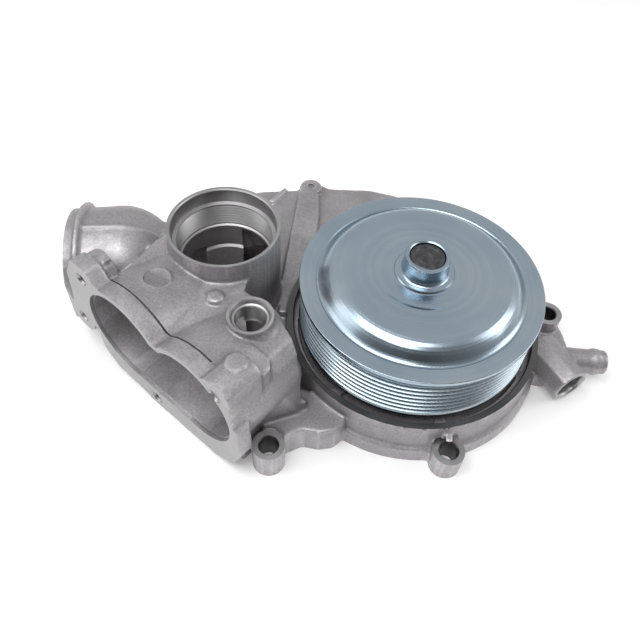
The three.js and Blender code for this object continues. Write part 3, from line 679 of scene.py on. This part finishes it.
def zinc_plate():
    """Bluish plating, brushed in rings, with painted shade darkening the belt grooves below the rim."""
    groove_top, groove_floor, groove_edge = 0.0622, 0.0655, 0.0679
    n = Nodes("zinc_plate", 1.0, 0.25, Anisotropic=0.35)
    radius = n.radius()
    brushed = ring_noise(n, radius, 3200, 0.11)
    bands = ring_noise(n, radius, 260, 0.53)
    cloud = n.noise(16, 3, 0.55)
    hue = n.math("ADD", n.math("MULTIPLY", cloud, 0.75), n.math("MULTIPLY", bands, 0.25))
    color = n.ramp(hue, (0.34, (0.35, 0.44, 0.52)), (0.66, (0.47, 0.53, 0.57)), (0.5, (0.40, 0.485, 0.56)))
    split = n.add("ShaderNodeSeparateXYZ")
    n.link(n.place, split.inputs["Vector"])
    # Painted shade: below the rim the groove floors are mixed towards near-black, darker the deeper in the
    # groove.
    below = n.math("LESS_THAN", split.outputs["Z"], groove_top)
    depth = n.span(radius, 0.95, 0.2, groove_floor, groove_edge)
    painted_groove_shade = n.mix("MIX", n.math("MULTIPLY", depth, below), color, (0.06, 0.075, 0.075, 1))
    n.link(painted_groove_shade, n.shader.inputs["Base Color"])
    rough = n.math("ADD", n.math("MULTIPLY", brushed, 0.10), n.math("MULTIPLY", n.noise(70, 3), 0.14))
    n.link(n.math("ADD", rough, 0.12), n.shader.inputs["Roughness"])
    lines = n.bump(brushed, 0.16, 0.00005)
    n.bump(n.noise(420, 2), 0.05, 0.0002, lines)
    return n.material


def blackened_steel():
    """Dark turned steel."""
    n = Nodes("blackened_steel", 1.0, 0.38)
    marks = ring_noise(n, n.radius(), 1500, 0.71)
    cloud = n.noise(300, 3)
    color = n.ramp(cloud, (0.3, (0.075, 0.075, 0.08)), (0.7, (0.14, 0.14, 0.15)))
    n.link(color, n.shader.inputs["Base Color"])
    n.link(n.span(marks, 0.3, 0.5), n.shader.inputs["Roughness"])
    n.bump(marks, 0.3, 0.0001)
    return n.material


def plain(name, metallic, rough, low, high, scale=200, relief=0.0001):
    """A surface with mottled colour and roughness and a fine relief."""
    n = Nodes(name, metallic, rough)
    cloud = n.noise(scale, 4, 0.6)
    n.link(n.ramp(cloud, (0.32, low), (0.68, high)), n.shader.inputs["Base Color"])
    n.link(n.span(n.noise(scale * 2, 3), max(rough - 0.1, 0.08), rough + 0.1), n.shader.inputs["Roughness"])
    n.bump(n.noise(scale * 5, 2), 0.3, relief)
    return n.material


# ---- building -----------------------------------------------------------------------------------------
def smooth_by_angle(obj, angle):
    """Smooth shading, with edges sharper than an angle in degrees kept hard."""
    obj.data.shade_smooth()
    obj.data.set_sharp_from_angle(angle=math.radians(angle))


def mark_machined(obj):
    """Gives cut faces slot 1, and those of the collar, the bolt holes and the sensor's bore slot 2, a darker
    copy of the machined metal that paints shade.
    """
    mesh = obj.data
    centre = np.empty(len(mesh.polygons) * 3)
    mesh.polygons.foreach_get("center", centre)
    x, y, z = centre.reshape(-1, 3).T / MM
    flange_out, across = along_and_across(x, y, (0, 0), FLANGE_ANGLE)
    flange_depth = FLANGE_OUT - flange_out
    past_pipe, _ = along_and_across(x, y, PIPE_END, PIPE_ANGLE)
    past_elbow, beside_elbow = along_and_across(x, y, ELBOW_END, ELBOW_ANGLE)
    off_elbow = np.hypot(beside_elbow, z - ARM_Z)
    off_drive = np.hypot(x, y)
    off_port = np.hypot(x - PORT[0], y - PORT[1])
    off_sensor = np.hypot(x - SENSOR[0], y - SENSOR[1])
    by_elbow = x > 70
    skin = 0.03

    machined = (np.abs(flange_depth) < skin) | (np.abs(z) < ON_PLANE)
    machined |= (off_port < 32) & (z > PORT_TOP - skin)
    machined |= (off_port > 22) & (off_port < 30.6) & (z > 37.9)
    machined |= (off_sensor < 13) & (z > SENSOR_TOP - skin)
    machined |= (off_sensor < 10.2) & (z > 59)
    machined |= (np.abs(past_pipe) < skin) & (x < PIPE_END[0] + 15)
    machined |= (np.abs(past_elbow + ELBOW_SKIM) < skin) & by_elbow
    machined |= (off_elbow < 9.3) & (past_elbow < 0.1) & (past_elbow > -20.5) & by_elbow
    for h, lug_z in LUGS:
        machined |= (np.hypot(across - h, z - lug_z) < 4.4) & (flange_depth < 13.5)
    # Slot 2 is painted shade: the collar top under the pulley's rim, the gap of the collar bore, the sensor's
    # bore and the bolt holes are made dark in colour.
    painted_shade = (np.abs(z - COLLAR_TOP) < 0.6) & (off_drive > 68) & (off_drive < 78)
    painted_shade |= (off_drive > 70) & (off_drive < 72.2) & (z > 20)
    painted_shade |= (off_sensor < 9.3) & (z > 45) & (z < SENSOR_TOP - 2.6)
    for boss_x, boss_y, top in BOLT_BOSSES:
        off_boss = np.hypot(x - boss_x, y - boss_y)
        machined |= (off_boss < 10.7) & (np.abs(z - top) < skin)
        painted_shade |= (off_boss < 5.9) & (z < top - 0.05)
    mesh.polygons.foreach_set("material_index", np.where(painted_shade, 2, machined).astype(np.int32))
    mesh.update()


def set_material(obj, *materials):
    """Gives an object these materials, in the order of its slots."""
    obj.data.materials.clear()
    for material in materials:
        obj.data.materials.append(material)


body = cast_body()
# The third slot is a darker copy of the machined metal, used as painted shade in the collar gap, the bores
# and the holes.
set_material(body, cast_aluminium(), machined_aluminium("machined_aluminium", 0.37, 0.48),
             machined_aluminium("painted_shade_aluminium", 0.11, 0.17))
mark_machined(body)
smooth_by_angle(body, 38)
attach(body, "housing")
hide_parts("pump_housing")

wheel = pulley()
set_material(wheel, zinc_plate())
smooth_by_angle(wheel, 32)
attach(wheel, "rotor")
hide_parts("belt_pulley")

axle = shaft()
set_material(axle, blackened_steel())
smooth_by_angle(axle, 30)
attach(axle, "rotor")
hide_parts("drive_shaft")

finishes = {
    "bearing_steel": plain("ground_steel", 1.0, 0.22, (0.50, 0.50, 0.52), (0.60, 0.60, 0.62)),
    "dark_steel": plain("dark_spring_steel", 1.0, 0.4, (0.06, 0.06, 0.065), (0.11, 0.11, 0.12)),
    "cast_iron": plain("cast_iron", 0.9, 0.6, (0.10, 0.10, 0.10), (0.19, 0.185, 0.18), 300, 0.0003),
    "pressed_brass": plain("pressed_brass", 1.0, 0.3, (0.55, 0.38, 0.16), (0.70, 0.52, 0.26)),
    "rubber": plain("black_rubber", 0.0, 0.7, (0.012, 0.012, 0.012), (0.03, 0.03, 0.03)),
    "carbon": plain("carbon_face", 0.0, 0.35, (0.025, 0.025, 0.027), (0.06, 0.06, 0.063)),
    "cage_plastic": plain("cage_plastic", 0.0, 0.45, (0.55, 0.47, 0.30), (0.68, 0.60, 0.42)),
}
for row in frame["record"]["subparts"]:
    node = frame["nodes"][row["node"]]
    if row["material_slot"] in finishes:
        for place in node.material_slots:
            place.material = finishes[row["material_slot"]]

# ---- studio -------------------------------------------------------------------------------------------
scene = bpy.context.scene
scene.view_settings.view_transform = "Standard"
scene.view_settings.look = "None"

floor = prism("studio_floor", rectangle(-3000, -3000, 3000, 3000), -20, -0.02)
floor_look = Nodes("studio_white", 0.0, 0.9)
paper = floor_look.ramp(floor_look.noise(2), (0.3, (0.93, 0.93, 0.93)), (0.7, (0.95, 0.95, 0.95)))
floor_look.link(paper, floor_look.shader.inputs["Base Color"])
floor_look.link(paper, floor_look.shader.inputs["Emission Color"])
floor_look.shader.inputs["Emission Strength"].default_value = 0.12
set_material(floor, floor_look.material)

world = bpy.data.worlds.new("studio")
scene.world = world
world.use_nodes = True
tree = world.node_tree
sky = tree.nodes.new("ShaderNodeTexCoord")
parts = tree.nodes.new("ShaderNodeSeparateXYZ")
fade = tree.nodes.new("ShaderNodeMapRange")
set_range(fade, -0.95, 0.35, 0.06, 0.64)
tree.links.new(sky.outputs["Generated"], parts.inputs["Vector"])
tree.links.new(parts.outputs["Y"], fade.inputs["Value"])
tree.links.new(fade.outputs["Result"], tree.nodes["Background"].inputs["Strength"])
tree.nodes["Background"].inputs["Color"].default_value = (1.0, 1.0, 1.0, 1)


def softbox(name, place, aim, width, height, power):
    """A rectangular lamp turned towards a point."""
    data = bpy.data.lights.new(name, "AREA")
    data.shape, data.size, data.size_y, data.energy = "RECTANGLE", width, height, power
    lamp = bpy.data.objects.new(name, data)
    lamp.location = place
    lamp.rotation_euler = (Vector(aim) - Vector(place)).to_track_quat("-Z", "Y").to_euler()
    scene.collection.objects.link(lamp)


target = (cad_low + cad_high) / 2
softbox("front_box", (-0.35, -0.4, 1.3), target, 1.1, 0.8, 12.5)
softbox("left_box", (-1.3, -0.2, 0.9), target, 0.8, 1.0, 4)
softbox("right_box", (1.3, 0.1, 0.8), target, 0.7, 0.9, 5)

camera = bpy.data.objects.new("camera", bpy.data.cameras.new("camera"))
camera.data.sensor_width, camera.data.lens = 36, 37.94
right, up = Vector((0.99639, 0.07090, 0.04679)), Vector((-0.08467, 0.78460, 0.61419))
forward = Vector((-0.00684, 0.61593, -0.78777))
eye = Matrix.Translation((-0.0526, -0.2549, 0.3459))
camera.matrix_world = eye @ Matrix((right, up, -forward)).transposed().to_4x4()
camera.data.clip_start, camera.data.clip_end = 0.01, 50
scene.collection.objects.link(camera)
scene.camera = camera
